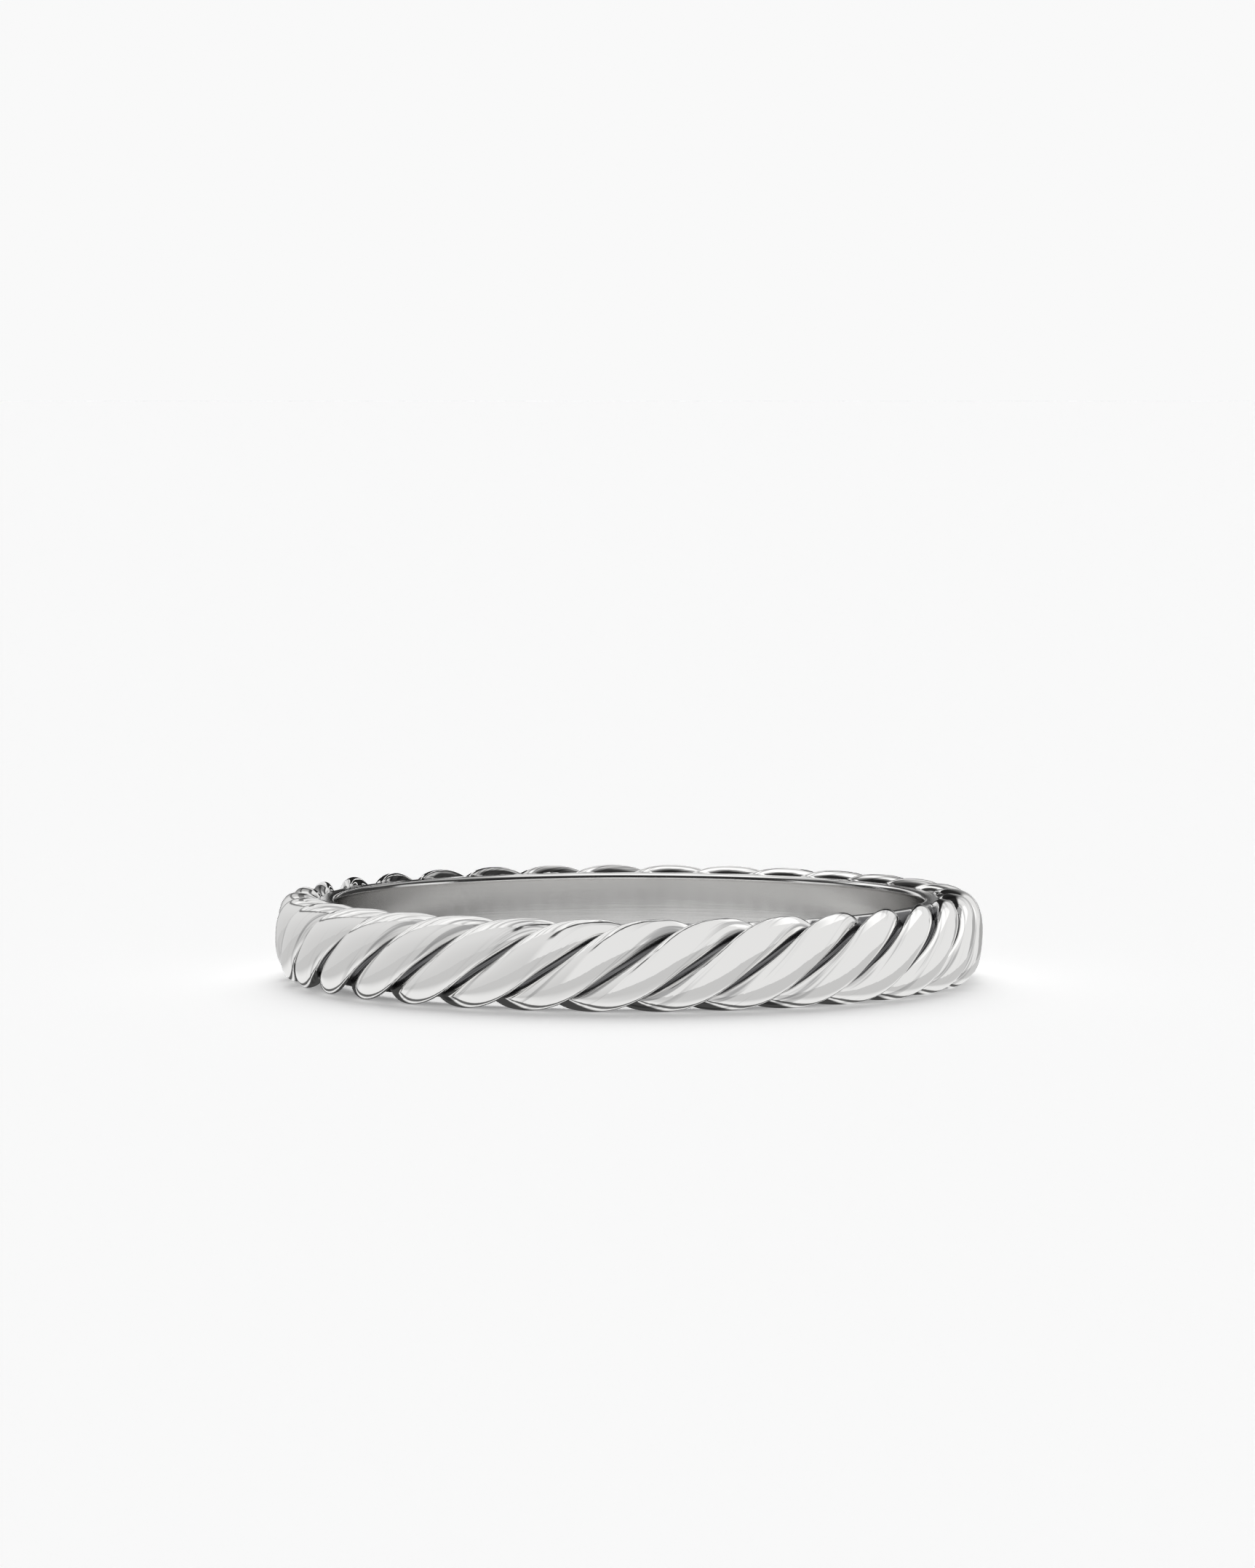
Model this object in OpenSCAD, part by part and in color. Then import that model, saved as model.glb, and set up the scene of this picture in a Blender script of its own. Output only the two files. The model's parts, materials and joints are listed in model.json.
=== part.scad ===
// Rope twist ring, cast in one piece.
// The ring lies on its side: its axis is +Z, its lowest point is at z = 0 and -Y is the front.
// Millimetres.

/* [Finger hole] */
// Inside diameter of the ring
finger_d = 17.35; // [15:0.05:21]
// Rounding of the hole's two rims
rim_r = 0.12; // [0.08:0.01:0.35]

/* [Lining] */
// Wall of the smooth lining
lining_t = 0.42; // [0.36:0.01:0.5]
// How far the lining's two faces lie below the rope's edges
lining_inset = 0.19; // [0.15:0.01:0.35]

/* [Rope twist] */
// Width of the rope along the finger, over the strands
band_w = 2.6; // [2.2:0.05:3.6]
// Thickness of the ring from the finger hole to the crest of a strand
band_t = 1.75; // [1.6:0.05:2.2]
// How far the outer face bulges out past the widest part of the rope
bulge = 0.82; // [0.7:0.01:0.9]
// How square the rope's section is: 2 is an ellipse
squareness = 2.55; // [2:0.05:3]
// Strands twisted together
strands = 4; // [3:1:5]
// Turns that each strand makes around the rope on its way around the ring
turns = 8; // [6:1:10]
// Where the first groove crosses the outer face, in strands from the front
first_groove = 0.9; // [0:0.05:1]

/* [Strands] */
// Depth of a groove on the rope's two edges
groove_depth = 0.56; // [0.3:0.02:0.6]
// Width of a groove's flat floor, along the ring
groove_w = 0.22; // [0.06:0.02:0.3]
// Width that the groove's floor opens to where the strands' tips reach over the lining
pit_w = 0.62; // [0.3:0.02:0.8]
// How flat a strand's back is: 2 is round
flatness = 2; // [1.8:0.1:3]
// How far a strand's crest leans towards its neighbour, as a share of its half width
lean = 0.08; // [0:0.02:0.2]

/* [Hidden] */
$fn = 96;

// Steps across one strand, around the part of the rope that shows, and in the rounding of a rim
strand_steps = 6;
section_steps = 18;
rim_steps = 4;

finger_r = finger_d / 2;
lining_r = finger_r + lining_t;
lining_w = band_w - 2 * lining_inset;
// Half of the rope's width, and the radius where the rope is widest
half_w = band_w / 2;
widest_r = finger_r + band_t - bulge;
// The ring's middle plane, at half its width above the surface that it lies on
mid_z = half_w;

// Whole strands, and whole turns of each
wound = round(strands);
whole_turns = round(turns);
// Strands counted once around the ring, and their spacing on the outer face
strand_count = wound * whole_turns;
pitch = 2 * PI * (finger_r + band_t) / strand_count;
// A groove's depth as a share of the way from a crest to the section's centre
groove_share = groove_depth / half_w;

// Angles around the section, from the outer face, between which a groove opens to a pit
pit_from_a = 72;
pit_full_a = 118;
// Angle around the section, from the outer face, at which a strand's crest dives into the lining
dive_a = 135;
// How deep in the lining's wall the crest is by then
dive_depth = 0.1;

// Angles around the rope's section: 0 faces out, 90 faces up. The last row is inside the lining.
section_angles = concat([for (i = [0 : section_steps]) dive_a * (2 * i / section_steps - 1)], [180]);
rows = len(section_angles);
columns = strand_count * (strand_steps + 1);

// Place across a strand, from -1 at one groove to 1 at the next. Steps crowd towards the grooves.
function across(i) = sin(180 * i / strand_steps - 90);

// How deep a strand's surface lies there: 0 on its crest, 1 in the groove
function sink(t) = let (s = abs(t + lean * (1 - t * t)))
    1 - pow(max(1 - pow(s, flatness), 0), 0.5);

// Share of the spacing that a groove's floor takes at an angle around the section. It grows by a
// smooth step from the groove's share to the pit's.
function opened(a) = min(max((abs(a) - pit_from_a) / (pit_full_a - pit_from_a), 0), 1);
function floor_share(a) = let (s = opened(a))
    (groove_w + (pit_w - groove_w) * s * s * (3 - 2 * s)) / pitch;

// Radius of the section's outline at an angle, where 1 is its half size along an axis
function squarish(a) = pow(pow(abs(cos(a)), squareness) + pow(abs(sin(a)), squareness), -1 / squareness);

// Half depth of the section: the outer side bulges out, the inner side reaches into the lining
inner_depth = (widest_r - lining_r + dive_depth) / (squarish(dive_a) * abs(cos(dive_a)));
function half_depth(a) = cos(a) >= 0 ? bulge : inner_depth;

// One point of the rope: column c runs around the ring, and a is the angle around its section
function rope_point(c, a) = let (
        strand = floor(c / (strand_steps + 1)),
        t = across(c % (strand_steps + 1)),
        place = strand + 1 / 2 + (1 - floor_share(a)) * t / 2,
        around = 360 * (place + first_groove) / strand_count + a / whole_turns,
        size = squarish(a) * (1 - groove_share * sink(t)),
        r = a == 180 ? finger_r + lining_t / 2 : widest_r + half_depth(a) * size * cos(a)
    )
    [r * sin(around), -r * cos(around), mid_z + half_w * size * sin(a)];

// Number of a point in the list. Past the last row the rope meets itself, some strands further on.
function point_at(c, row) = row < rows
    ? (c % columns) * rows + row
    : ((c + wound * (strand_steps + 1)) % columns) * rows;

// The rope: strands wound around a ring, as one closed surface
module rope() {
    points = [for (c = [0 : columns - 1], a = section_angles) rope_point(c, a)];
    faces = [for (c = [0 : columns - 1], row = [0 : rows - 1])
        each [
            [point_at(c, row), point_at(c, row + 1), point_at(c + 1, row + 1)],
            [point_at(c, row), point_at(c + 1, row + 1), point_at(c + 1, row)]
        ]
    ];
    polyhedron(points = points, faces = faces, convexity = 10);
}

// Rounded inner corner of the lining's section, from angle start on
function rim(side, start) = [
    for (i = [0 : rim_steps]) let (a = start - 90 * i / rim_steps)
        [finger_r + rim_r + rim_r * cos(a), side * (lining_w / 2 - rim_r) + rim_r * sin(a)]
];

// Section of the lining: a wall with its two inner corners rounded
module lining_section() {
    outer = [[lining_r, lining_w / 2], [lining_r, -lining_w / 2]];
    polygon(concat(rim(-1, 270), rim(1, 180), outer));
}

// The smooth lining that the finger slides through
module lining() {
    translate([0, 0, mid_z]) rotate_extrude() lining_section();
}

module twist_band() {
    color("silver") union() {
        lining();
        rope();
    }
}

twist_band();
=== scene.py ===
"""A silver finger ring, cast as one piece: a rope of twisted strands around a smooth lining.

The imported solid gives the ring's hole, outside and width. The ring here is one closed surface on the
same sizes, with rounded joins where the strands run into the lining, and dark oxide left in the grooves.
"""

import json
import logging
import math
from collections.abc import Mapping
from dataclasses import dataclass, field
from enum import Enum
from typing import Any

import bpy
import numpy as np
from mathutils import Euler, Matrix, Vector

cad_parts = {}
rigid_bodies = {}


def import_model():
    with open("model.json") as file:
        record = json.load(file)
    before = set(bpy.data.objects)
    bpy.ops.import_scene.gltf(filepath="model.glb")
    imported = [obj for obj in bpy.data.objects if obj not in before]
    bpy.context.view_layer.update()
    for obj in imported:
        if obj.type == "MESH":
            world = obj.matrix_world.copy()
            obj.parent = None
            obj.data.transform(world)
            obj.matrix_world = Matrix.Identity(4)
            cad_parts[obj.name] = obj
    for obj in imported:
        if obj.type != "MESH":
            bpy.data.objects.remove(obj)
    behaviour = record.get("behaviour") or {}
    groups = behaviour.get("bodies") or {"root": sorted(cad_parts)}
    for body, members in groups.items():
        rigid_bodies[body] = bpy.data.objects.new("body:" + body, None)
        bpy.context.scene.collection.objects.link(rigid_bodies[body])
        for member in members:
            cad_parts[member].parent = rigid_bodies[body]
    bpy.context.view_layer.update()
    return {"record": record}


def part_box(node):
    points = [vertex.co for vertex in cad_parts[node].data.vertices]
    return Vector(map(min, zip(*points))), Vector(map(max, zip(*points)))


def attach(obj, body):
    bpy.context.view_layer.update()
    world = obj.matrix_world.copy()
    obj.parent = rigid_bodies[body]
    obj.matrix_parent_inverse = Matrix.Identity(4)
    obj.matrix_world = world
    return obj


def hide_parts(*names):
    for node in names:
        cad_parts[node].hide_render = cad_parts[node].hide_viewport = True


MM = 0.001
FRAME_W_PX = 1725
FRAME_H_PX = 2156
NODE = "twist_band"
# The brightest level that a glow over a surface reaches, where 1 is white in the picture
PEAK = 1.2

# Where a smooth step starts and where it ends
Span = tuple[float, float]

log = logging.getLogger("ring")


class Ray(Enum):
    """What asks for light, by the name of its socket on the Light Path node."""

    CAMERA = "Is Camera Ray"
    DIFFUSE = "Is Diffuse Ray"


@dataclass(frozen=True)
class Grain:
    """The size of a noise: its bumps per unit along each of a place's three numbers, and finer layers."""

    bumps: tuple[float, float, float]
    layers: float


@dataclass(frozen=True)
class Value:
    """A socket of numbers in a node tree. Arithmetic on it adds Math nodes to its tree."""

    graph: "Graph"
    socket: bpy.types.NodeSocket

    def __add__(self, other: "Value | float") -> "Value":
        """The sum."""
        return self.graph.math("ADD", self, other)

    def __radd__(self, other: float) -> "Value":
        """The sum, with the number on the left."""
        return self.graph.math("ADD", other, self)

    def __sub__(self, other: "Value | float") -> "Value":
        """The difference."""
        return self.graph.math("SUBTRACT", self, other)

    def __rsub__(self, other: float) -> "Value":
        """The difference, with the number on the left."""
        return self.graph.math("SUBTRACT", other, self)

    def __mul__(self, other: "Value | float") -> "Value":
        """The product."""
        return self.graph.math("MULTIPLY", self, other)

    def __rmul__(self, other: float) -> "Value":
        """The product, with the number on the left."""
        return self.graph.math("MULTIPLY", other, self)

    def __truediv__(self, other: "Value | float") -> "Value":
        """The quotient."""
        return self.graph.math("DIVIDE", self, other)

    def __abs__(self) -> "Value":
        """The absolute value."""
        return self.graph.math("ABSOLUTE", self)

    def step(self, low: float, high: float) -> "Value":
        """A smooth step of this value.

        Args:
            low: The value at which the step starts, where the result is 0.
            high: The value at which it ends, where the result is 1.

        Returns:
            3 t t - 2 t t t, where t is the share of the way from low to high, held from 0 to 1.
        """
        node = self.graph.node(
            "ShaderNodeMapRange",
            {"interpolation_type": "SMOOTHSTEP"},
            {"Value": self, "From Min": low, "From Max": high, "To Min": 0.0, "To Max": 1.0},
        )
        return Value(self.graph, node.outputs["Result"])


@dataclass(frozen=True)
class Graph:
    """A node tree that is filled by expressions on Value and by one method for every other node."""

    tree: bpy.types.NodeTree

    def node(
        self, kind: str, settings: Mapping[str, Any], inputs: Mapping[str | int, Any]
    ) -> bpy.types.Node:
        """Adds one node.

        Args:
            kind: The node's type.
            settings: Its own properties, which are set first.
            inputs: The value or the link of each socket, by the socket's name or number.

        Returns:
            The new node.
        """
        made = self.tree.nodes.new(kind)
        for name, value in settings.items():
            setattr(made, name, value)
        for key, value in inputs.items():
            if isinstance(value, Value):
                self.tree.links.new(value.socket, made.inputs[key])
            elif isinstance(value, bpy.types.NodeSocket):
                self.tree.links.new(value, made.inputs[key])
            else:
                made.inputs[key].default_value = value
        return made

    def math(self, operation: str, *operands: "Value | float") -> Value:
        """One Math node.

        Args:
            operation: The operation's name, such as ADD.
            operands: Its one, two or three values.

        Returns:
            The result.
        """
        node = self.node("ShaderNodeMath", {"operation": operation}, dict(enumerate(operands)))
        return Value(self, node.outputs[0])

    def mix_colour(self, share: "Value | float", start: Any, end: Any) -> bpy.types.NodeSocket:
        """A colour part of the way from one to another.

        Args:
            share: The share of the way, from 0 to 1.
            start: The colour at 0, as a socket or four numbers.
            end: The colour at 1, as a socket or four numbers.

        Returns:
            The mixed colour's socket.
        """
        settings = {"data_type": "RGBA", "clamp_factor": True}
        node = self.node("ShaderNodeMix", settings, {0: share, 6: start, 7: end})
        return node.outputs[2]

    def noise(self, place: bpy.types.NodeSocket, grain: Grain, unit: float = 1.0) -> Value:
        """Smooth noise from about 0 to 1 over a place.

        Args:
            place: The socket of the place that the noise reads.
            grain: The noise's size. Each finer layer is half as strong as the one before.
            unit: The grain's unit, counted in the place's unit.

        Returns:
            The noise.
        """
        drawn = self.node("ShaderNodeMapping", {}, {"Vector": place, "Scale": Vector(grain.bumps) / unit})
        inputs = {"Vector": drawn.outputs[0], "Scale": 1.0, "Detail": grain.layers, "Roughness": 0.5}
        return Value(self, self.node("ShaderNodeTexNoise", {}, inputs).outputs["Fac"])

    def parts(self, vector: bpy.types.NodeSocket) -> tuple[Value, Value, Value]:
        """A vector's three numbers."""
        split = self.node("ShaderNodeSeparateXYZ", {}, {0: vector})
        return Value(self, split.outputs[0]), Value(self, split.outputs[1]), Value(self, split.outputs[2])

    def attribute(self, name: str) -> Value:
        """A number that the mesh stores at each of its points, by the attribute's name."""
        return Value(self, self.node("ShaderNodeAttribute", {"attribute_name": name}, {}).outputs["Fac"])

    def object_place(self) -> bpy.types.NodeSocket:
        """The place on the object, in metres."""
        return self.node("ShaderNodeTexCoord", {}, {}).outputs["Object"]

    def azimuth(self, right: Value, back: Value) -> Value:
        """The azimuth of a place or a direction, in degrees: 0 is towards the camera, 90 to the right."""
        return self.math("DEGREES", self.math("ARCTAN2", right, 0.0 - back))

    def asked_by(self, ray: Ray) -> Value:
        """1 where that kind of ray asks, and 0 elsewhere."""
        return Value(self, self.node("ShaderNodeLightPath", {}, {}).outputs[ray.value])

    def blend(self, share: Value, start: bpy.types.NodeSocket, end: bpy.types.NodeSocket) -> Any:
        """A shader part of the way from one to another."""
        return self.node("ShaderNodeMixShader", {}, {0: share, 1: start, 2: end}).outputs[0]

    def glow(self, level: float) -> bpy.types.NodeSocket:
        """A neutral light of one level."""
        inputs = {"Color": (1.0, 1.0, 1.0, 1.0), "Strength": level}
        return self.node("ShaderNodeEmission", {}, inputs).outputs[0]

    def glow_by_place(self, level: Value) -> bpy.types.NodeSocket:
        """A neutral light whose level changes over the surface.

        Args:
            level: The level, from 0 to the peak.

        Returns:
            A dark light mixed with one of the peak level, by the level's share of the peak.
        """
        return self.blend(level * (1 / PEAK), self.glow(0.0), self.glow(PEAK))


@dataclass(frozen=True)
class Silver:
    """Polished silver with dark oxide in its recesses, as one material.

    Lengths are millimetres. The grains of the noises on the strands count bumps the way around the
    ring, the way along the strand and across it. Those of the brushing and the clouds count them along
    x, y and z.
    """

    metal: tuple[float, float, float, float] = (0.93, 0.925, 0.915, 1.0)
    oxide: tuple[float, float, float, float] = (0.13, 0.13, 0.135, 1.0)
    worn_oxide: tuple[float, float, float, float] = (0.23, 0.23, 0.235, 1.0)
    polish_roughness: float = 0.05
    lining_roughness: float = 0.13
    oxide_roughness: float = 0.34
    cloud_roughness: float = 0.03
    cloud_grain: Grain = Grain((0.5, 0.5, 0.5), 2.0)
    oxide_edge: Span = (0.36, 0.62)
    ragged: float = 0.3
    ragged_grain: Grain = Grain((6.0, 1.2, 0.0), 1.5)
    lining_evenness: float = 0.85
    groove_floor: Span = (0.2, 0.9)
    line_grain: Grain = Grain((16.0, 0.5, 0.0), 2.0)
    line_edge: Span = (0.38, 0.62)
    line_least: float = 0.1
    line_gain: float = 1.1
    traces: float = 0.7
    trace_edge: Span = (0.5, 0.64)
    strand_edge: Span = (0.4, 0.95)
    strand_tip: Span = (1.0, 2.0)
    streak_height: float = 0.005
    streak_grain: Grain = Grain((7.0, 0.35, 0.0), 2.0)
    streak_on_crest: float = 0.3
    ripple_height: float = 0.006
    ripple_grain: Grain = Grain((1.6, 0.45, 0.0), 1.0)
    brush_height: float = 0.0006
    brush_grain: Grain = Grain((0.25, 0.25, 14.0), 4.0)

    def material(self) -> bpy.types.Material:
        """Builds the material.

        The oxide's mask is a smooth step of the oxide attribute, moved a little by noise that is drawn
        out along the strands. It mixes the colours and raises the roughness. Worn lines run along the
        grooves' floors, and traces of oxide along the strands' edges and tips. The bump is the hand
        polish: long ripples and fine streaks along the strands, and brushing around the lining.

        Returns:
            The new material.
        """
        made = bpy.data.materials.new("silver_with_oxide")
        made.use_nodes = True
        graph = Graph(made.node_tree)
        made.node_tree.nodes.clear()
        place = graph.object_place()
        strand = graph.node("ShaderNodeAttribute", {"attribute_name": "strand"}, {}).outputs["Vector"]
        _, along, across = graph.parts(strand)
        lining = graph.attribute("lining")
        uneven = graph.noise(strand, self.ragged_grain) - 0.5
        ragged = self.ragged * uneven * (1.0 - self.lining_evenness * lining)
        mask = (graph.attribute("oxide") + ragged).step(*self.oxide_edge)
        worn = graph.noise(strand, self.line_grain).step(*self.line_edge)
        lines = graph.attribute("floor").step(*self.groove_floor) * (self.line_least + self.line_gain * worn)
        dark = graph.mix_colour(lines, self.oxide, self.worn_oxide)
        streak = graph.noise(strand, self.streak_grain)
        edge = abs(across).step(*self.strand_edge)
        tip = abs(along).step(*self.strand_tip)
        missed = (edge + tip * (1.0 - edge)) * self.traces
        traces = streak.step(*self.trace_edge) * missed * (1.0 - lining)
        colour = graph.mix_colour(mask, graph.mix_colour(traces, self.metal, self.worn_oxide), dark)
        cloud = graph.noise(place, self.cloud_grain, MM) - 0.5
        smooth = self.polish_roughness + (self.lining_roughness - self.polish_roughness) * lining
        smooth = smooth + self.cloud_roughness * cloud
        rough = smooth + (self.oxide_roughness - smooth) * mask
        ripples = graph.noise(strand, self.ripple_grain) * self.ripple_height
        streaks = streak * self.streak_height * (self.streak_on_crest + edge)
        brush = graph.noise(place, self.brush_grain, MM) * self.brush_height
        height = (ripples + streaks) * (1.0 - lining) + brush * lining
        bump = graph.node("ShaderNodeBump", {}, {"Strength": 1.0, "Distance": MM, "Height": height})
        shader = graph.node(
            "ShaderNodeBsdfPrincipled",
            {},
            {"Base Color": colour, "Metallic": 1.0, "Roughness": rough, "Normal": bump.outputs[0]},
        )
        graph.node("ShaderNodeOutputMaterial", {}, {"Surface": shader.outputs[0]})
        return made


def ramp(number: np.ndarray, low: float, high: float) -> np.ndarray:
    """Each number's share of the way from low to high, held from 0 to 1."""
    return np.clip((number - low) / (high - low), 0, 1)


@dataclass(frozen=True)
class TwistBand:
    """The ring's one casting. Lengths are millimetres and angles are degrees."""

    finger_r: float
    outer_r: float
    width: float
    rim_r: float = 0.12
    lining_t: float = 0.42
    lining_inset: float = 0.19
    bulge: float = 0.82
    squareness: float = 2.55
    strands: int = 4
    turns: int = 8
    first_groove: float = 0.9
    groove_depth: float = 0.56
    groove_w: float = 0.22
    pit_w: float = 0.62
    pit_from: float = 72.0
    pit_full: float = 118.0
    flatness: float = 2.0
    lean: float = 0.08
    dive_angle: float = 135.0
    dive_depth: float = 0.1
    pit_draft: float = 35.0
    join_r: float = 0.05
    side_from: float = 40.0
    side_full: float = 80.0
    side_oxide: float = 0.2
    groove_oxide_from: float = 0.66
    groove_oxide_full: float = 0.96
    face_oxide: float = 0.44
    face_margin: float = 0.06
    face_blend: float = 0.05
    floor_from: float = 0.86
    floor_full: float = 0.98
    strand_steps: int = 22
    floor_steps: int = 3
    row_spans: tuple[tuple[float, int], ...] = ((100.0, 25), (128.0, 16), (156.0, 14), (180.0, 3))

    @property
    def half_w(self) -> float:
        """Half of the band's width, which is also the height of its middle plane."""
        return self.width / 2

    @property
    def widest_r(self) -> float:
        """Radius at which the rope is widest, around which its section is drawn."""
        return self.outer_r - self.bulge

    @property
    def lining_r(self) -> float:
        """Outside radius of the lining."""
        return self.finger_r + self.lining_t

    @property
    def lining_half(self) -> float:
        """Half of the lining's width."""
        return self.half_w - self.lining_inset

    @property
    def strand_count(self) -> int:
        """Strands counted once around the ring."""
        return self.strands * self.turns

    @property
    def inner_depth(self) -> float:
        """Half depth of the section's inner side, which ends inside the lining's wall."""
        dive = math.radians(self.dive_angle)
        reach = float(self.squarish(np.array(dive))) * abs(math.cos(dive))
        return (self.widest_r - self.lining_r + self.dive_depth) / reach

    def squarish(self, angle: np.ndarray) -> np.ndarray:
        """The section's outline: the radius at which |cos|^n + |sin|^n of the angle comes to 1."""
        power = self.squareness
        return (np.abs(np.cos(angle)) ** power + np.abs(np.sin(angle)) ** power) ** (-1 / power)

    def sink(self, across: np.ndarray) -> np.ndarray:
        """How deep a strand's back lies, from 0 on its crest to 1 in the groove.

        Args:
            across: The place across the strand, from -1 at one groove to 1 at the next.

        Returns:
            1 - sqrt(1 - |s|^p), where s is the place moved by the strand's lean.
        """
        moved = np.abs(across + self.lean * (1 - across**2))
        return 1 - np.sqrt(np.clip(1 - moved**self.flatness, 0, 1))

    def columns(self) -> tuple[np.ndarray, np.ndarray, np.ndarray, np.ndarray]:
        """The grid's columns around the ring: each strand's back, and then the groove's floor after it.

        Returns:
            The middle that each column is measured from, counted in strands, its place in that strand's
            width and in the floor's width, and its place across the strand from -1 to 1. Steps crowd
            towards the grooves, as the sine of evenly spaced angles.
        """
        back = np.sin(np.linspace(-math.pi / 2, math.pi / 2, self.strand_steps + 1))
        floor = np.arange(1, self.floor_steps) / self.floor_steps - 0.5
        none_back, none_floor = np.zeros_like(back), np.zeros_like(floor)
        middle = np.concatenate([none_back + 0.5, none_floor + 1.0])
        strand = np.arange(self.strand_count)
        middles = (strand[:, None] + middle[None, :]).ravel()
        in_back = np.tile(np.concatenate([back / 2, none_floor]), self.strand_count)
        in_floor = np.tile(np.concatenate([none_back, floor]), self.strand_count)
        across = np.tile(np.concatenate([back, none_floor + 1.0]), self.strand_count)
        return middles, in_back, in_floor, across

    def floor_share(self, angle: np.ndarray) -> np.ndarray:
        """Share of the strands' spacing that the floor between two takes, by the section's angle.

        Args:
            angle: The angle around the section.

        Returns:
            The groove's share on the outer face, rising by a smooth step to the pit's share at the tips.
        """
        pitch = 2 * math.pi * self.outer_r / self.strand_count
        step = ramp(np.degrees(np.abs(angle)), self.pit_from, self.pit_full)
        step = step * step * (3 - 2 * step)
        return (self.groove_w + (self.pit_w - self.groove_w) * step) / pitch

    def rows(self) -> np.ndarray:
        """Angles of the grid's rows around the section, from -180 to just under 180 degrees."""
        angles, start = [0.0], 0.0
        for end, steps in self.row_spans:
            angles.extend(start + (end - start) * (np.arange(steps) + 1) / steps)
            start = end
        half = np.radians(np.array(angles))
        return np.concatenate([-half[:0:-1], half[:-1]])

    def lining_reach(self, angle: np.ndarray) -> tuple[np.ndarray, np.ndarray]:
        """How far the lining reaches along each ray from the section's centre.

        A ray leaves the lining through its bore, its face or the arc that rounds the two. Nearer the
        strands the boundary is the wall of a pit, a straight line that leans by the draft angle.

        Args:
            angle: The ray's angle around the section.

        Returns:
            The reach in the section's own scale, which is 0 where the ray misses the lining, and how far
            below the lining's face the pit's wall lies there, in the same scale.
        """
        inward = -np.cos(angle) * self.inner_depth
        upward = np.abs(np.sin(angle)) * self.half_w
        hits = inward > 1e-6
        inward = np.where(hits, inward, 1.0)
        safe_up = np.maximum(upward, 1e-6)
        bore = (self.widest_r - self.finger_r) / inward
        face = self.lining_half / safe_up
        reach = np.minimum(bore, face)
        centre_in = self.widest_r - self.finger_r - self.rim_r
        centre_up = self.lining_half - self.rim_r
        rounded = (reach * inward > centre_in) & (reach * upward > centre_up)
        square = inward**2 + upward**2
        middle = (inward * centre_in + upward * centre_up) / square
        rest = (centre_in**2 + centre_up**2 - self.rim_r**2) / square
        arc = middle + np.sqrt(np.clip(middle**2 - rest, 0, None))
        reach = np.where(rounded, arc, reach)
        lean = math.tan(math.radians(self.pit_draft))
        corner = self.lining_half * lean - (self.widest_r - self.lining_r)
        slope = upward * lean - inward
        wall = np.where(slope > 1e-6, corner / np.maximum(slope, 1e-6), np.inf)
        below = np.where(hits, np.clip(reach - wall, 0, 1), 0.0)
        return np.where(hits, np.minimum(reach, wall), 0.0), below

    def closeness(self, one: np.ndarray, other: np.ndarray) -> np.ndarray:
        """How nearly equal two reaches are: 1 where they cross, and 0 from the join's size on."""
        size = self.join_r / self.half_w
        return np.clip(size - np.abs(one - other), 0, None) / size

    def joined(self, one: np.ndarray, other: np.ndarray) -> np.ndarray:
        """The larger of two reaches, with a rounded join where they cross.

        Args:
            one: The first reach.
            other: The second reach.

        Returns:
            The larger one, plus h h k / 4, where h is their closeness and k the join's size.
        """
        return np.maximum(one, other) + self.closeness(one, other) ** 2 * self.join_r / self.half_w / 4

    def oxide(self, across: np.ndarray, angle: np.ndarray, rope: np.ndarray) -> np.ndarray:
        """Where oxide is left in the recesses.

        Polishing reaches a strand's back but not the groove beside it, and reaches less of its sides
        towards the ring's two faces. It reaches neither the pits nor the line where a tip meets the
        lining, and it leaves a thin film on the lining's two flat faces.

        Args:
            across: The place across the strand, from -1 to 1, by column.
            angle: The angle around the section, by row.
            rope: The strands' reach, by column and row.

        Returns:
            A number for each point: 0 is clean, about a half is the oxide's edge and 1 is deep inside it.
        """
        lining, below = self.lining_reach(angle)
        turned = ramp(np.degrees(np.abs(angle)), self.side_from, self.side_full)
        depth = self.sink(across)[:, None] + (self.side_oxide * turned)[None, :]
        groove = ramp(depth, self.groove_oxide_from, self.groove_oxide_full)
        size = self.join_r / self.half_w
        lined = np.clip((lining[None, :] - rope) / size + 0.5, 0, 1)
        inward = -lining * np.cos(angle) * self.inner_depth
        rim = self.widest_r - self.finger_r - self.rim_r + self.face_margin
        face = ramp(rim - inward, 0.0, self.face_blend)
        pit = np.maximum(ramp(below, 0.0, size), self.face_oxide * face)[None, :]
        join = self.closeness(rope, lining[None, :]) ** 2
        return np.maximum(groove * (1 - lined) + pit * lined, join)

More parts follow.
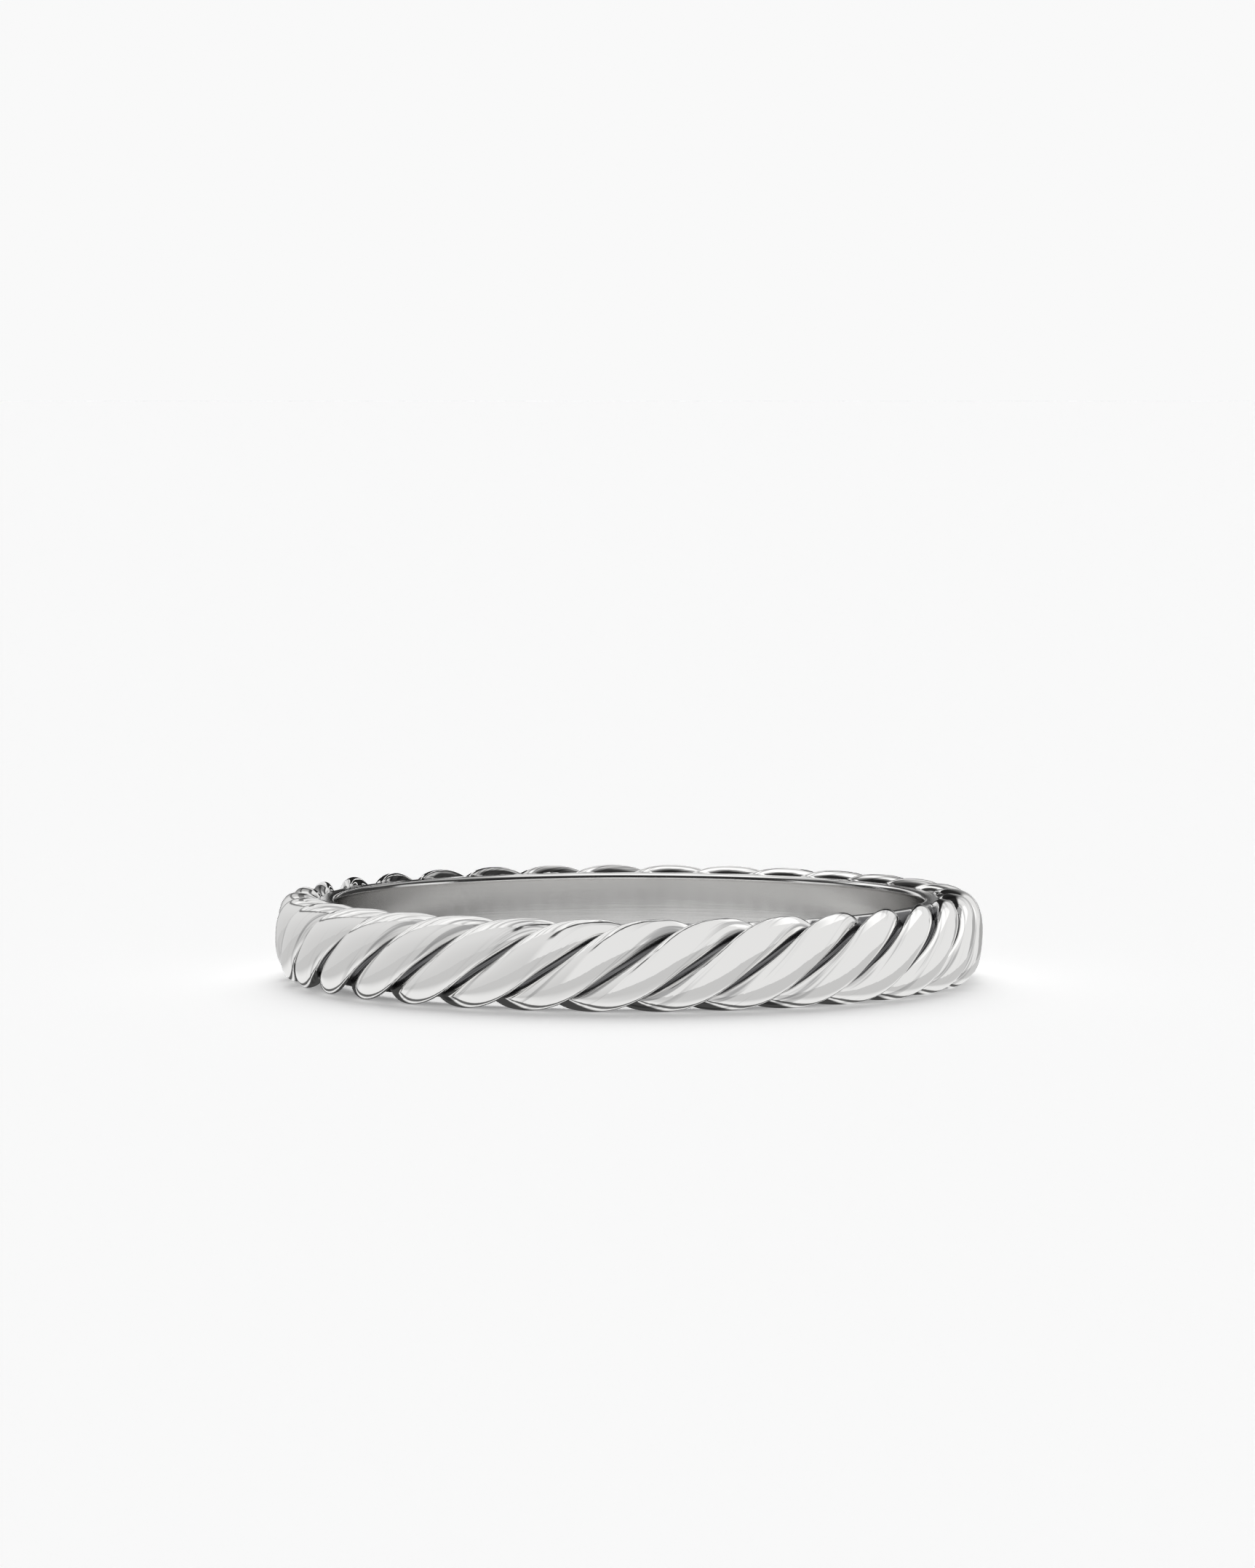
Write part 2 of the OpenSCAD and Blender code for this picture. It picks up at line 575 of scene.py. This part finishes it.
    def build(self) -> bpy.types.Object:
        """Builds the ring as one closed surface of two parameters.

        The section turns as it goes around the ring: a point at section angle a lies a / turns further
        around than the same strand on the outer face. Its reach from the section's centre is the squarish
        outline, less the strand's sink, joined with the lining's reach.

        Returns:
            The ring's object, with the attributes oxide, floor, lining and strand on its points.
        """
        middle, in_back, in_floor, across = self.columns()
        angle = self.rows()
        floor = self.floor_share(angle)[None, :]
        place = middle[:, None] + in_back[:, None] * (1 - floor) + in_floor[:, None] * floor
        share = self.groove_depth / self.half_w
        outline = self.squarish(angle)[None, :]
        lining = self.lining_reach(angle)[0][None, :]
        rope = outline * (1 - share * self.sink(across)[:, None])
        reach = self.joined(rope, lining)
        depth = np.where(np.cos(angle) >= 0, self.bulge, self.inner_depth)
        radius = self.widest_r + reach * (depth * np.cos(angle))[None, :]
        height = self.half_w + reach * (self.half_w * np.sin(angle))[None, :]
        around = 2 * math.pi * (place + self.first_groove) / self.strand_count
        around = around + angle[None, :] / self.turns
        points = np.stack([radius * np.sin(around), -radius * np.cos(around), height], axis=-1)
        size = self.join_r / self.half_w
        lined = np.clip((lining - rope) / size * 0.5 + 0.5, 0, 1)
        per_strand = self.strand_steps + self.floor_steps
        mesh = self.sheared_torus(points * MM, self.strands * per_strand)
        flat = ramp(self.sink(across)[:, None], self.floor_from, self.floor_full) * (1 - lined)
        for name, values in (
            ("oxide", self.oxide(across, angle, rope)),
            ("floor", flat),
            ("lining", lined),
        ):
            stored = mesh.attributes.new(name, "FLOAT", "POINT")
            stored.data.foreach_set("value", values.astype(np.float32).ravel())
        pitch = 2 * math.pi * self.outer_r / self.strand_count
        along = np.broadcast_to(angle[None, :] * self.half_w, place.shape)
        strand = np.stack([place * pitch, along, np.broadcast_to(across[:, None], place.shape)], axis=-1)
        stored = mesh.attributes.new("strand", "FLOAT_VECTOR", "POINT")
        stored.data.foreach_set("vector", strand.astype(np.float32).ravel())
        made = bpy.data.objects.new("band", mesh)
        bpy.context.scene.collection.objects.link(made)
        return made

    @staticmethod
    def sheared_torus(points: np.ndarray, shift: int) -> bpy.types.Mesh:
        """A closed mesh of four-sided faces over a grid that meets itself in both directions.

        Args:
            points: The grid's points, by column around the ring and row around the section.
            shift: How many columns further on a column meets the first row, past its last.

        Returns:
            The mesh, smooth shaded.
        """
        columns, rows = points.shape[:2]
        column, row = np.meshgrid(np.arange(columns), np.arange(rows), indexing="ij")
        next_column = (column + 1) % columns
        wraps = row == rows - 1
        next_row = np.where(wraps, 0, row + 1)
        over = np.where(wraps, (column + shift) % columns, column)
        over_next = np.where(wraps, (next_column + shift) % columns, next_column)
        corners = [
            column * rows + row,
            next_column * rows + row,
            over_next * rows + next_row,
            over * rows + next_row,
        ]
        faces = np.stack(corners, axis=-1).reshape(-1, 4)
        mesh = bpy.data.meshes.new("band")
        mesh.vertices.add(columns * rows)
        mesh.vertices.foreach_set("co", points.astype(np.float32).ravel())
        mesh.loops.add(faces.size)
        mesh.loops.foreach_set("vertex_index", faces.astype(np.int32).ravel())
        mesh.polygons.add(len(faces))
        mesh.polygons.foreach_set("loop_start", np.arange(0, faces.size, 4, dtype=np.int32))
        mesh.polygons.foreach_set("use_smooth", np.ones(len(faces), bool))
        mesh.update(calc_edges=True)
        mesh.validate()
        return mesh

    def dress(self, made: bpy.types.Object, finish: Silver) -> None:
        """Gives the ring its material and ties it to the frame.

        Args:
            made: The ring's object.
            finish: The silver that it is made of.
        """
        made.data.materials.append(finish.material())
        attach(made, "root")
        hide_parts(NODE)


@dataclass(frozen=True)
class Card:
    """A soft-edged patch of one brightness on the dome.

    Azimuth 0 is behind the camera and 90 is to the right. Angles are degrees.
    """

    azimuth: float
    elevation: float
    half_w: float
    half_h: float
    soft_w: float
    soft_h: float
    level: float

    def share(self, azimuth: Value, elevation: Value) -> Value:
        """How much of the card a ray meets.

        Args:
            azimuth: The ray's azimuth, in degrees.
            elevation: The ray's elevation, in degrees.

        Returns:
            The product of two smooth steps, of the angles from the card's middle.
        """
        off = abs(azimuth.graph.math("WRAP", azimuth - self.azimuth, 180.0, -180.0))
        rise = abs(elevation - self.elevation)
        wide = 1.0 - off.step(self.half_w, self.half_w + self.soft_w)
        return wide * (1.0 - rise.step(self.half_h, self.half_h + self.soft_h))

    def over(self, level: Value, azimuth: Value, elevation: Value) -> Value:
        """Lays the card over a level.

        Args:
            level: The brightness without the card.
            azimuth: The ray's azimuth, in degrees.
            elevation: The ray's elevation, in degrees.

        Returns:
            The brightness with the card.
        """
        return level + self.share(azimuth, elevation) * (self.level - level)

    def on_the_floor(self) -> float:
        """The light that the card lays on a level floor, where a whole white sky would lay 1.

        Returns:
            The sum of share sin e cos e / pi over steps of half a degree, where e is the elevation.
        """
        step = math.radians(0.5)
        turn = np.radians(np.arange(-180, 180, 0.5) + 0.25)[:, None]
        rise = np.radians(np.arange(0, 90, 0.5) + 0.25)[None, :]
        off = np.abs((np.degrees(turn) - self.azimuth + 180) % 360 - 180)
        wide = ramp(off, self.half_w, self.half_w + self.soft_w)
        high = ramp(np.abs(np.degrees(rise) - self.elevation), self.half_h, self.half_h + self.soft_h)
        share = (1 - wide**2 * (3 - 2 * wide)) * (1 - high**2 * (3 - 2 * high))
        return float(np.sum(share * np.sin(rise) * np.cos(rise))) * step**2 / math.pi


@dataclass(frozen=True)
class Dome:
    """The light from far away: dark around the horizon, and brighter towards a white ceiling."""

    backdrop: float = 0.947
    horizon: float = 0.04
    ceiling: float = 1.0
    rise: Span = (35.0, 85.0)
    cards: tuple[Card, ...] = field(
        default_factory=lambda: (
            Card(-75, 80, 60, 16, 20, 14, 1.2),
            Card(60, 80, 55, 12, 25, 10, 1.1),
            Card(-135, 32, 22, 5, 9, 5, 1.1),
            Card(155, 45, 20, 12, 12, 10, 0.5),
            Card(-172, 10, 16, 34, 14, 12, 0.8),
        )
    )
    lamp: Card = field(default_factory=lambda: Card(180, 50, 34, 18, 8, 22, 1.0))
    lamp_share: float = 0.65

    def light(self, floor_albedo: float) -> None:
        """Builds the dome.

        The camera sees the plain backdrop, and the silver sees the cards. The floor is lit by a wide lamp
        above and behind the ring, which lays a short soft shadow towards the camera. Together with the
        light that comes up through the floor, it makes the open floor look like the backdrop.

        Args:
            floor_albedo: The share of its light that the floor gives back.
        """
        world = bpy.data.worlds.new("studio")
        bpy.context.scene.world = world
        world.use_nodes = True
        world.cycles.sampling_method = "NONE"
        world.node_tree.nodes.clear()
        graph = Graph(world.node_tree)
        direction = graph.node("ShaderNodeTexCoord", {}, {}).outputs["Generated"]
        right, back, up = graph.parts(direction)
        azimuth = graph.azimuth(right, back)
        elevation = graph.math("DEGREES", graph.math("ARCSINE", up))
        level = self.horizon + (self.ceiling - self.horizon) * elevation.step(*self.rise)
        for card in self.cards:
            level = card.over(level, azimuth, elevation)
        whole = self.backdrop * self.lamp_share / floor_albedo / self.lamp.on_the_floor()
        lamp = self.lamp.share(azimuth, elevation) * whole
        level = level + graph.asked_by(Ray.DIFFUSE) * (lamp - level)
        level = level + graph.asked_by(Ray.CAMERA) * (self.backdrop - level)
        shader = graph.node("ShaderNodeBackground", {}, {"Color": level, "Strength": 1.0})
        graph.node("ShaderNodeOutputWorld", {}, {"Surface": shader.outputs[0]})


def stage_material(name: str) -> tuple[bpy.types.Material, Graph]:
    """An empty material that isn't sampled as a lamp, and its graph."""
    made = bpy.data.materials.new(name)
    made.use_nodes = True
    made.cycles.emission_sampling = "NONE"
    made.node_tree.nodes.clear()
    return made, Graph(made.node_tree)


@dataclass(frozen=True)
class Screen:
    """An upright flat screen of one level, seen only in the silver. Lengths are millimetres."""

    left: float
    right: float
    foot: float
    top: float
    level: float


@dataclass(frozen=True)
class Tent:
    """A low white tent close around the ring's front half, seen only in the silver.

    It has a curved wall, a flat roof and a card that stands across its right end. The card is pale
    towards the front, and a grey curtain carries it on to the left. Both are dark behind. A dark seam
    runs up the wall and back over the roof. What lies left of it is white above a dark hem, with soft
    pleats, and has a dark stripe around its top. More screens stand behind the ring. Lengths are
    millimetres, and what is called a turn or a fade is a span of azimuths, in degrees.
    """

    radius: float = 14.0
    left_end: float = -130.0
    right_end: float = 138.0
    height: float = 8.0
    columns: int = 100
    back_y: float = 2.0
    lining_y: float = 0.05
    card_x: float = 6.5
    card_foot: float = 3.2
    curtain_x: float = -8.5
    curtain_level: float = 0.35
    dark_level: float = 0.02
    screens_y: float = 12.0
    screens: tuple[Screen, ...] = (
        Screen(-9.5, -7.6, 0.0, 10.0, 0.02),
        Screen(-7.6, -7.1, 0.0, 10.0, 1.0),
        Screen(-7.1, -5.6, 0.0, 10.0, 0.02),
        Screen(-5.6, -5.1, 0.0, 10.0, 1.0),
        Screen(-5.1, -3.6, 0.0, 10.0, 0.05),
        Screen(5.6, 11.0, 0.0, 6.5, 0.06),
    )
    seam_x: float = -1.9
    seam_drift: float = 0.43
    seam_lean: float = 0.25
    seam_half: float = 0.5
    seam_growth: float = 0.05
    seam_line: Span = (0.35, 1.0)
    seam_rise: Span = (3.0, 4.4)
    seam_level: float = 0.08
    left_level: float = 0.66
    left_gain: float = 0.1
    left_rise: Span = (0.0, 4.0)
    left_fade: Span = (-126.0, -110.0)
    left_faded: float = 0.3
    white_level: float = 1.05
    white_from: float = 4.5
    white_blend: float = 0.7
    white_lift: float = 1.8
    white_lift_turn: Span = (-80.0, -20.0)
    pleat_depth: float = 0.5
    pleat_grain: Grain = Grain((0.16, 1.0, 1.0), 2.0)
    pleat_edge: Span = (0.42, 0.64)
    stripe_level: float = 0.22
    stripe_on_wall: Span = (6.3, 6.8)
    stripe_on_roof: Span = (9.8, 10.8)
    stripe_turn: Span = (-108.0, -92.0)
    hem_half: Span = (0.1, 0.42)
    hem_turn: Span = (-75.0, -40.0)
    roof_skin: float = 0.02
    right_level: float = 0.83
    right_white: float = 1.1
    right_white_turn: Span = (40.0, 65.0)
    right_fade: Span = (112.0, 138.0)
    right_faded: float = 0.6
    trim: float = 0.2
    shade_x: float = 12.0
    shade_slope: float = 0.35
    shade_edge: Span = (-0.2, 0.8)
    shade_clear: float = 0.4
    shade_clear_x: Span = (8.6, 10.6)

    def build(self) -> None:
        """Builds the wall with its roof, the card and the curtain with their backs, and the screens."""
        angle = np.radians(np.linspace(self.left_end, self.right_end, self.columns + 1))
        x, y = self.radius * np.sin(angle), -self.radius * np.cos(angle)
        foot = np.stack([x, y, 0 * x], axis=-1)
        corners = np.concatenate([foot, foot + np.array([0, 0, self.height])])
        first = np.arange(self.columns)
        count = self.columns + 1
        walls = np.stack([first, first + 1, first + count + 1, first + count], axis=-1).tolist()
        covered = (np.nonzero(y <= self.back_y + 1e-6)[0] + count).tolist()
        self.hang("light_wall", corners, [*walls, covered], self.painted())
        end, low, high = math.sqrt(self.radius**2 - self.back_y**2), self.card_foot, self.height
        card = Screen(self.card_x, end, low, high, 0.0)
        curtain = Screen(self.curtain_x, self.card_x, low, high, self.curtain_level)
        behind = Screen(self.curtain_x, end, low, high, self.dark_level)
        self.stand("card_front", card, self.back_y, self.painted())
        self.stand("curtain_front", curtain, self.back_y)
        self.stand("curtain_back", behind, self.back_y + self.lining_y)
        for screen in self.screens:
            self.stand("screen", screen, self.screens_y)

    def stand(self, name: str, screen: Screen, y: float, finish: bpy.types.Material | None = None) -> None:
        """Stands a screen up, facing the camera.

        Args:
            name: The piece's name.
            screen: Its edges and its level.
            y: How far back it stands.
            finish: A light of its own, in place of the level.
        """
        across = [screen.left, screen.right, screen.right, screen.left]
        up = [screen.foot, screen.foot, screen.top, screen.top]
        corners = np.stack([across, np.full(4, y), up], axis=-1)
        self.hang(name, corners, [[0, 1, 2, 3]], finish or self.plain(screen.level))

    @staticmethod
    def hang(name: str, corners: np.ndarray, faces: list[list[int]], finish: bpy.types.Material) -> None:
        """Hangs one piece of the tent.

        Args:
            name: The piece's name.
            corners: Its points, in millimetres.
            faces: Its faces, as lists of point numbers.
            finish: Its light.
        """
        mesh = bpy.data.meshes.new(name)
        mesh.from_pydata((corners * MM).tolist(), [], faces)
        made = bpy.data.objects.new(name, mesh)
        bpy.context.scene.collection.objects.link(made)
        mesh.materials.append(finish)
        for hidden in ("visible_camera", "visible_diffuse", "visible_shadow"):
            setattr(made, hidden, False)

    @staticmethod
    def plain(level: float) -> bpy.types.Material:
        """A glow of one level."""
        made, graph = stage_material("plain_glow")
        graph.node("ShaderNodeOutputMaterial", {}, {"Surface": graph.glow(level)})
        return made

    def painted(self) -> bpy.types.Material:
        """Builds the light of the wall, the roof and the card.

        The seam lies at a distance to the right that grows with the distance from the tent's front and
        with the height. The card's foot, and what it hides, is dark.

        Returns:
            The new material.
        """
        made, graph = stage_material("tent_glow")
        right, back, up = (part * (1 / MM) for part in graph.parts(graph.object_place()))
        azimuth = graph.azimuth(right, back)
        inside = back + self.radius
        seam = self.seam_x + inside * self.seam_drift - (self.height - up) * self.seam_lean
        past = (right - seam) / (self.seam_half + self.seam_growth * inside)
        left = self.left_of_seam(graph, right, back, up)
        panel = self.right_of_seam(right, back, up, azimuth)
        level = left + past.step(-1.0, 1.0) * (panel - left)
        line = (1.0 - abs(past).step(*self.seam_line)) * up.step(*self.seam_rise)
        level = level + line * (self.seam_level - level)
        graph.node("ShaderNodeOutputMaterial", {}, {"Surface": graph.glow_by_place(level)})
        return made

    def left_of_seam(self, graph: Graph, right: Value, back: Value, up: Value) -> Value:
        """The tent's light left of its seam: grey below, white with pleats above, a hem and a stripe.

        Args:
            graph: The material's graph.
            right: The place's x.
            back: The place's y.
            up: The place's height.

        Returns:
            The level.
        """
        azimuth = graph.azimuth(right, back)
        level = self.left_level + self.left_gain * up.step(*self.left_rise)
        lift = up - azimuth.step(*self.white_lift_turn) * self.white_lift
        around = graph.node("ShaderNodeCombineXYZ", {}, {0: azimuth}).outputs[0]
        pleats = graph.noise(around, self.pleat_grain).step(*self.pleat_edge)
        white = self.white_level - self.pleat_depth * pleats
        level = level + (white - level) * lift.step(self.white_from, self.white_from + self.white_blend)
        reach = graph.math("SQRT", right * right + back * back)
        roof = up.step(self.height - self.roof_skin, self.height - self.roof_skin / 2)
        band = up.step(*self.stripe_on_wall) * (1.0 - roof) + reach.step(*self.stripe_on_roof) * roof
        stripe = band * (1.0 - azimuth.step(*self.stripe_turn))
        level = level + stripe * (self.stripe_level - level)
        hem = 1.0 - abs(lift - self.white_from).step(*self.hem_half)
        level = level + hem * (1.0 - azimuth.step(*self.hem_turn)) * (self.stripe_level - level)
        return level * (self.left_faded + (1.0 - self.left_faded) * azimuth.step(*self.left_fade))

    def right_of_seam(self, right: Value, back: Value, up: Value, azimuth: Value) -> Value:
        """The tent's light right of its seam: pale, white on the roof's right, dark at the card's foot.

        Args:
            right: The place's x.
            back: The place's y.
            up: The place's height.
            azimuth: The place's azimuth.

        Returns:
            The level.
        """
        white = azimuth.step(*self.right_white_turn)
        white = white * up.step(self.height - self.trim, self.height - self.trim / 2)
        level = self.right_level + (self.right_white - self.right_level) * white
        level = level * (1.0 - (1.0 - self.right_faded) * azimuth.step(*self.right_fade))
        foot = self.card_foot + (self.shade_x - right) * self.shade_slope
        card = back.step(self.back_y - self.trim, self.back_y - self.trim / 2) * up.step(0.0, self.trim / 2)
        shade = card * (1.0 - (up - foot).step(*self.shade_edge))
        shaded = self.dark_level + self.shade_clear * right.step(*self.shade_clear_x)
        return level + shade * (shaded - level)


@dataclass(frozen=True)
class Floor:
    """The pale floor. The camera sees it lit and shadowed, with a painted shade inside the ring.
    The silver sees it as a glow of greys that is painted light, with painted shadows at the ring.

    The greys are levels of light. Lengths are millimetres from the ring's axis, and what is called a
    turn is a span of azimuths, in degrees.
    """

    through: float
    half: float = 2000.0
    albedo: float = 0.9
    # Levels of the glow that the silver sees: painted light, lighter far off and darker behind, not the
    # floor's colour.
    grey: float = 0.6
    far_grey: float = 0.76
    far: Span = (16.0, 28.0)
    far_turn: Span = (-60.0, 30.0)
    back_grey: float = 0.6
    back: Span = (9.0, 11.0)
    back_turn: Span = (130.0, 150.0)
    # A painted pool of light close to the ring on its left.
    near_level: float = 0.86
    near: Span = (10.4, 11.3)
    near_turn: Span = (-30.0, 20.0)
    crest: Span = (10.2, 10.55)
    # A painted shadow: a thin dark line just outside the ring's foot.
    shadow_line_level: float = 0.12
    line_r: float = 10.06
    line_half: Span = (0.04, 0.1)
    # A painted contact shadow under the ring's rounded foot, reaching a little further out on the right.
    contact_shadow_level: float = 0.06
    contact_shadow: Span = (9.82, 9.92)
    contact_right: float = 0.16
    contact_turn: Span = (0.0, 60.0)
    # The glow in the hole: painted lighter on the left, cloudy, with painted shade along its edge.
    hole_left: float = 0.7
    hole_right: float = 0.52
    hole_x: Span = (-7.0, 6.0)
    hole_rim: Span = (8.5, 8.9)
    hole_shade: Span = (7.0, 8.5)
    hole_shaded: float = 0.25
    cloud_grain: Grain = Grain((0.3, 0.3, 0.001), 2.0)
    cloud_least: float = 0.5
    # A painted shade: to the camera, the floor inside this span is held to a share of its light.
    inside: Span = (9.0, 9.7)
    inside_shade_share: float = 0.72

    def build(self) -> bpy.types.Object:
        """Builds the floor.

        Returns:
            The floor's object.
        """
        half = self.half * MM
        corners = [(-half, -half, 0), (half, -half, 0), (half, half, 0), (-half, half, 0)]
        mesh = bpy.data.meshes.new("floor")
        mesh.from_pydata(corners, [], [(0, 1, 2, 3)])
        made = bpy.data.objects.new("floor", mesh)
        bpy.context.scene.collection.objects.link(made)
        mesh.materials.append(self.paint())
        return made

    def mirrored(self, graph: Graph, right: Value, back: Value, radius: Value) -> Value:
        """The painted light that the silver sees on the floor, as a grey by place.

        It is painted lighter far off to the right and close to the ring on the left, with a painted shadow
        under the ring's rounded foot and a thin painted shadow line just outside it. In the hole it is
        cloudy, painted lighter on the left, with painted shade along its edge.

        Args:
            graph: The material's graph.
            right: The place's x.
            back: The place's y.
            radius: The place's distance from the ring's axis.

        Returns:
            The level.
        """
        azimuth = graph.azimuth(right, back)
        far = radius.step(*self.far) * azimuth.step(*self.far_turn)
        level = self.grey + (self.far_grey - self.grey) * far
        near = (1.0 - radius.step(*self.near)) * (1.0 - azimuth.step(*self.near_turn))
        near = near + (1.0 - near) * (1.0 - radius.step(*self.crest))
        level = level + near * (self.near_level - level)
        # Painted contact shadow and a thin painted shadow line, by the distance from the ring's foot.
        touch = radius + self.contact_right * azimuth.step(*self.contact_turn)
        line = 1.0 - abs(touch - self.line_r).step(*self.line_half)
        level = level + line * (self.shadow_line_level - level)
        level = level + (1.0 - touch.step(*self.contact_shadow)) * (self.contact_shadow_level - level)
        # The hole's glow, with painted shade along its edge.
        hole = self.hole_left + (self.hole_right - self.hole_left) * right.step(*self.hole_x)
        cloud = graph.noise(graph.object_place(), self.cloud_grain, MM)
        shade = radius.step(*self.hole_shade) * (1.0 - self.hole_shaded)
        hole = hole * (self.cloud_least + cloud) * (1.0 - shade)
        level = level + (1.0 - radius.step(*self.hole_rim)) * (hole - level)
        behind = abs(azimuth).step(*self.back_turn) * radius.step(*self.back)
        return level + behind * (self.back_grey - level)

    def table(self, graph: Graph, share: float) -> bpy.types.NodeSocket:
        """What the camera sees: a lit surface that also glows a little.

        Args:
            graph: The material's graph.
            share: A share that both are held to.

        Returns:
            The shader's socket.
        """
        colour = (self.albedo * share,) * 3 + (1.0,)
        lit = graph.node("ShaderNodeBsdfDiffuse", {}, {"Color": colour})
        glow = graph.glow(self.through * share)
        return graph.node("ShaderNodeAddShader", {}, {0: lit.outputs[0], 1: glow}).outputs[0]

    def paint(self) -> bpy.types.Material:
        """Builds the floor's material, with a painted shade: a little darker to the camera inside the ring.

        Returns:
            The new material.
        """
        made, graph = stage_material("floor_paint")
        right, back, _ = (part * (1 / MM) for part in graph.parts(graph.object_place()))
        radius = graph.math("SQRT", right * right + back * back)
        glow = graph.glow_by_place(self.mirrored(graph, right, back, radius))
        # Painted shade: the camera sees the floor inside the ring at a share of its light.
        outside = radius.step(*self.inside)
        table = graph.blend(outside, self.table(graph, self.inside_shade_share), self.table(graph, 1.0))
        both = graph.blend(graph.asked_by(Ray.CAMERA), glow, table)
        graph.node("ShaderNodeOutputMaterial", {}, {"Surface": both})
        return made


@dataclass(frozen=True)
class ReferenceView:
    """The camera: where it stands from the ring, and where the ring lies in the frame."""

    distance: float = 191.2
    elevation: float = 5.19
    ring_px: tuple[float, float] = (864.9, 1285.0)
    px_per_mm: float = 46.68
    sensor: float = 36.0

    def place(self, middle: Vector) -> bpy.types.Object:
        """Sets up the camera.

        The camera looks at the ring's middle and then turns, up and to the side, by the angles that put
        the middle at its pixel. The lens gives the ring its size in the frame.

        Args:
            middle: The ring's middle, in metres.

        Returns:
            The camera's object.
        """
        focal_px = self.px_per_mm * self.distance
        tilt = math.radians(self.elevation)
        data = bpy.data.cameras.new("camera")
        data.sensor_width = self.sensor
        data.lens = focal_px * self.sensor / FRAME_H_PX
        data.clip_start = 0.01
        made = bpy.data.objects.new("camera", data)
        bpy.context.scene.collection.objects.link(made)
        back = self.distance * MM
        made.location = middle + Vector((0, -back * math.cos(tilt), back * math.sin(tilt)))
        rise = math.atan((self.ring_px[1] - FRAME_H_PX / 2) / focal_px)
        side = math.atan((self.ring_px[0] - FRAME_W_PX / 2) / focal_px)
        made.rotation_euler = Euler((math.pi / 2 - tilt + rise, 0, side), "XYZ")
        bpy.context.scene.camera = made
        return made


def main() -> None:
    """Builds the ring, the studio and the camera."""
    logging.basicConfig(level=logging.INFO, format="%(name)s: %(message)s")
    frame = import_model()
    low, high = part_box(NODE)
    hole = next(m for m in frame["record"]["mounts"] if m["name"] == "finger_hole")
    bpy.context.scene.view_settings.view_transform = "Standard"
    for started in [o for o in bpy.data.objects if o.name in ("Cube", "Light", "Camera")]:
        bpy.data.objects.remove(started)

    view = ReferenceView()
    view.place(Vector((0, 0, (low.z + high.z) / 2)))
    dome = Dome()
    floor = Floor(through=dome.backdrop * (1 - dome.lamp_share))
    floor.build()
    dome.light(floor.albedo)
    Tent().build()
    log.info("camera, floor, dome and tent are in place")

    band = TwistBand(
        finger_r=hole["dims"]["r_mm"],
        outer_r=max(high.x, high.y) / MM,
        width=(high.z - low.z) / MM,
    )
    ring = band.build()
    band.dress(ring, Silver())
    log.info("band: %d faces, outside radius %.3f mm", len(ring.data.polygons), band.outer_r)


if __name__ == "__main__":
    main()
